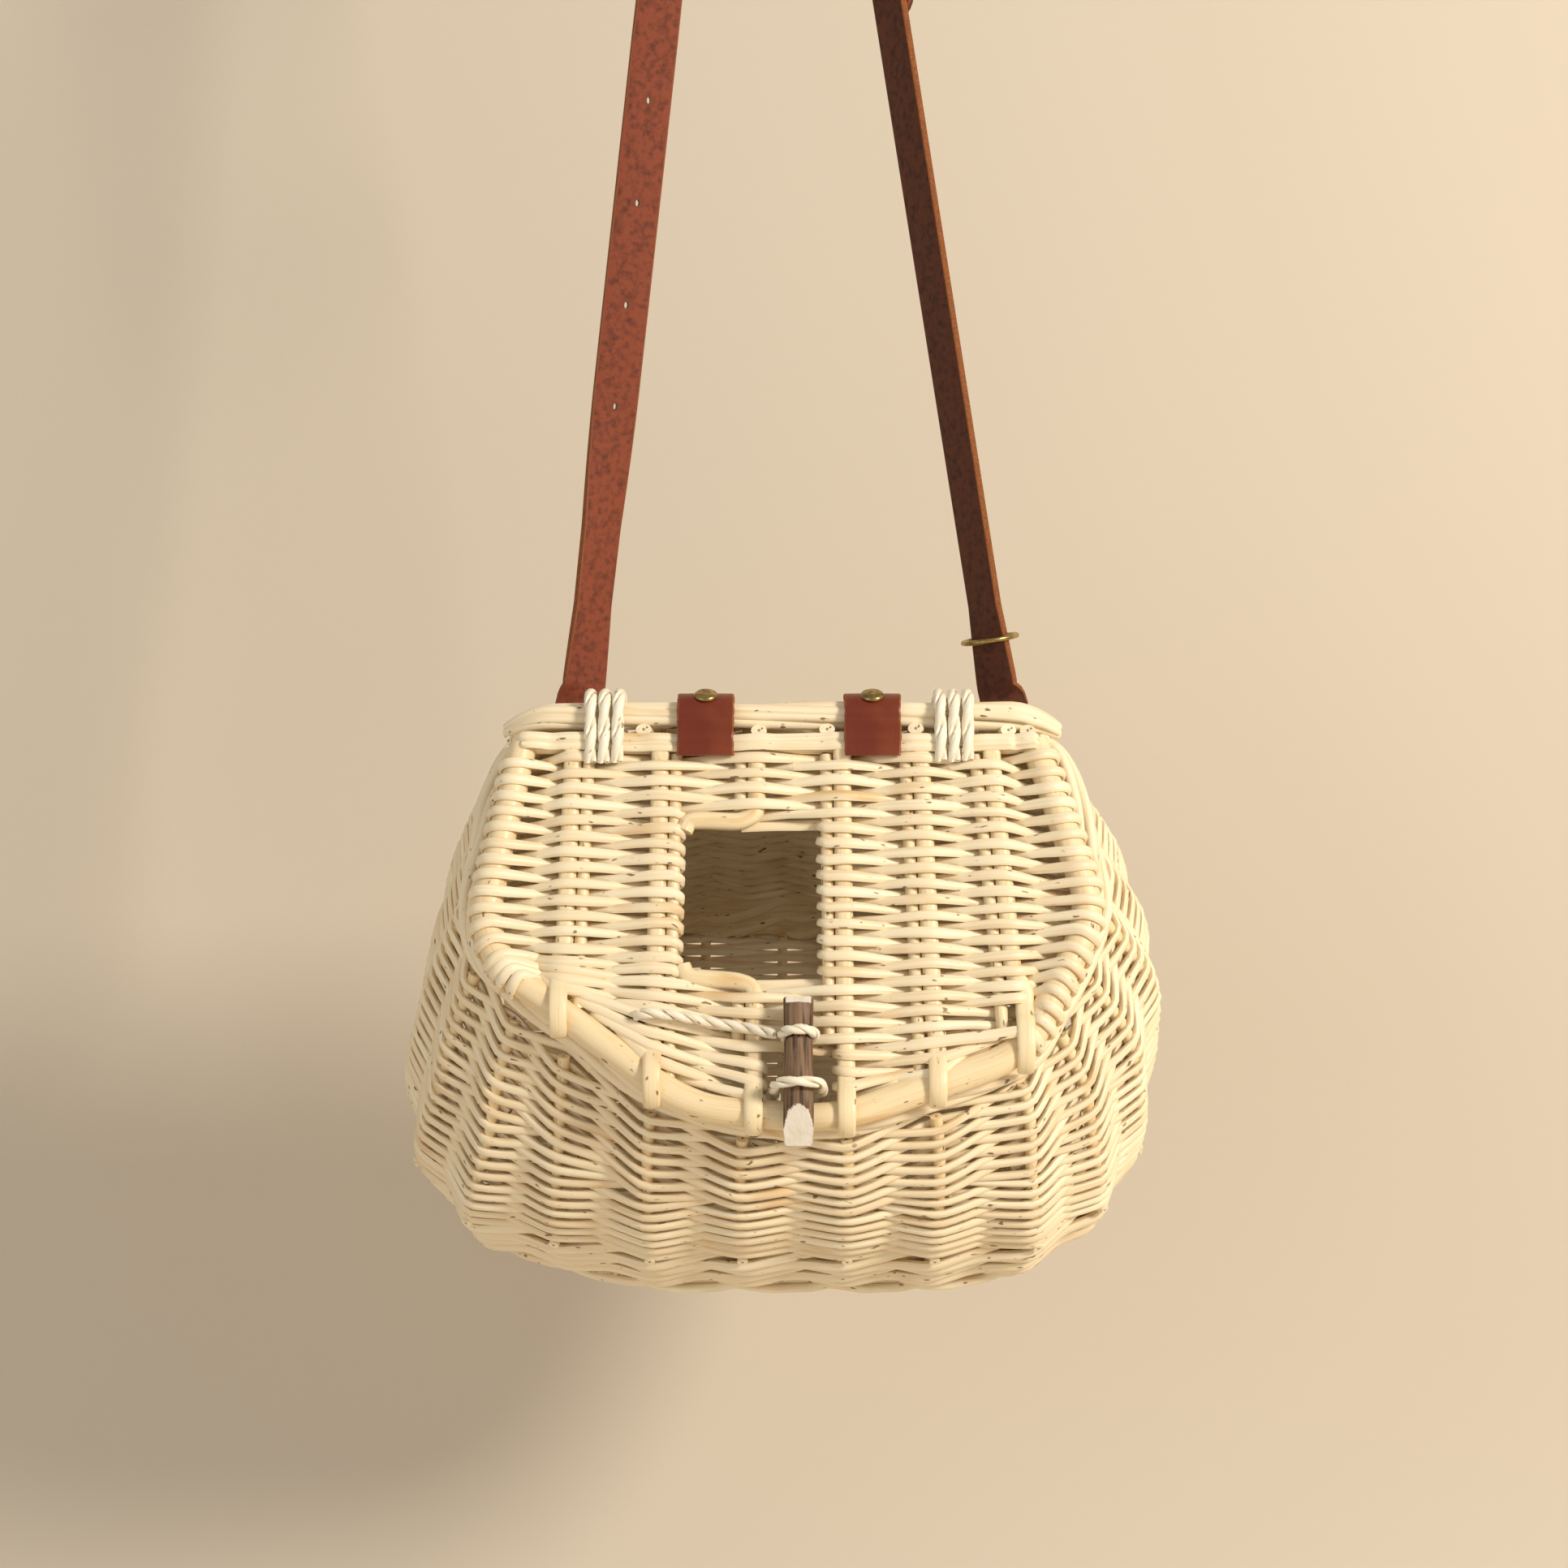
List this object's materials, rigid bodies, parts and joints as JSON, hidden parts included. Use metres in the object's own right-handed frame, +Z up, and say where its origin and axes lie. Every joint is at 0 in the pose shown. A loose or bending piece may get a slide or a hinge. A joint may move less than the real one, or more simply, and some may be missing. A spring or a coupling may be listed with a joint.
{
  "type": "wicker fishing creel",
  "caption": "Wicker fishing creel with a hinged lid, fish hole, peg latch, leather hinges and buckled leather shoulder strap, hung by the strap.",
  "frame": {"origin": "inner top of the shoulder strap's bight, where it lies over a peg or a shoulder", "axes": "+Z up, as it hangs; -Y out of the lid's side, towards the viewer; +X to the viewer's right"},
  "size_m": [0.358, 0.2467, 0.8226],
  "materials": {
    "willow": "peeled woven willow, satin",
    "peeled_willow": "peeled willow rod, satin",
    "bark": "brown bark, matt",
    "strap_leather": "worn vegetable-tanned leather",
    "hinge_leather": "waxed reddish brown leather",
    "brass": "aged brass"
  },
  "bodies": {
    "strap": {"strap_long": "strap_leather", "strap_short": "strap_leather", "strap_rivets": "brass", "buckle_frame": "brass", "buckle_tongue": "brass"},
    "basket": {"base_weave": "willow", "base_sticks": "peeled_willow", "foot_border": "willow", "upsett_wale": "willow", "side_stakes": "peeled_willow", "siding_back": "willow", "siding_left": "willow", "siding_right": "willow", "siding_front": "willow", "top_border": "willow", "back_border": "peeled_willow", "strap_loops": "willow", "latch_loop": "willow"},
    "lid": {"lid_hoop": "peeled_willow", "lid_rear_rail": "peeled_willow", "lid_ribs": "peeled_willow", "lid_rib_liners": "peeled_willow", "lid_weave": "willow", "fish_hole_frame": "peeled_willow", "willow_hinge_left": "willow", "willow_hinge_right": "willow", "leather_hinge_left": "hinge_leather", "leather_hinge_right": "hinge_leather", "hinge_rivets": "brass", "tether_cord": "willow"},
    "peg": {"latch_peg": "bark", "tether_collar": "willow"},
    "ring": {"keeper_ring": "brass"}
  },
  "joints": [
    {"name": "basket_swing", "type": "hinge", "parent": "strap", "child": "basket", "pos_m": [0.008, 0.00175, -0.545], "axis": [1, 0, 0], "range_deg": [-35, 100]},
    {"name": "lid_hinge", "type": "hinge", "parent": "basket", "child": "lid", "pos_m": [0.008, -0.02826, -0.53454], "axis": [-1, 0, 0], "range_deg": [0, 100]},
    {"name": "peg_slide", "type": "slide", "parent": "lid", "child": "peg", "axis": [0, 0.3987, 0.9171], "range_m": [0, 0.05], "deforming": ["tether_cord"]},
    {"name": "ring_slide", "type": "slide", "parent": "strap", "child": "ring", "axis": [-0.162, 0, 0.9868], "range_m": [-0.004, 0.25]}
  ]
}
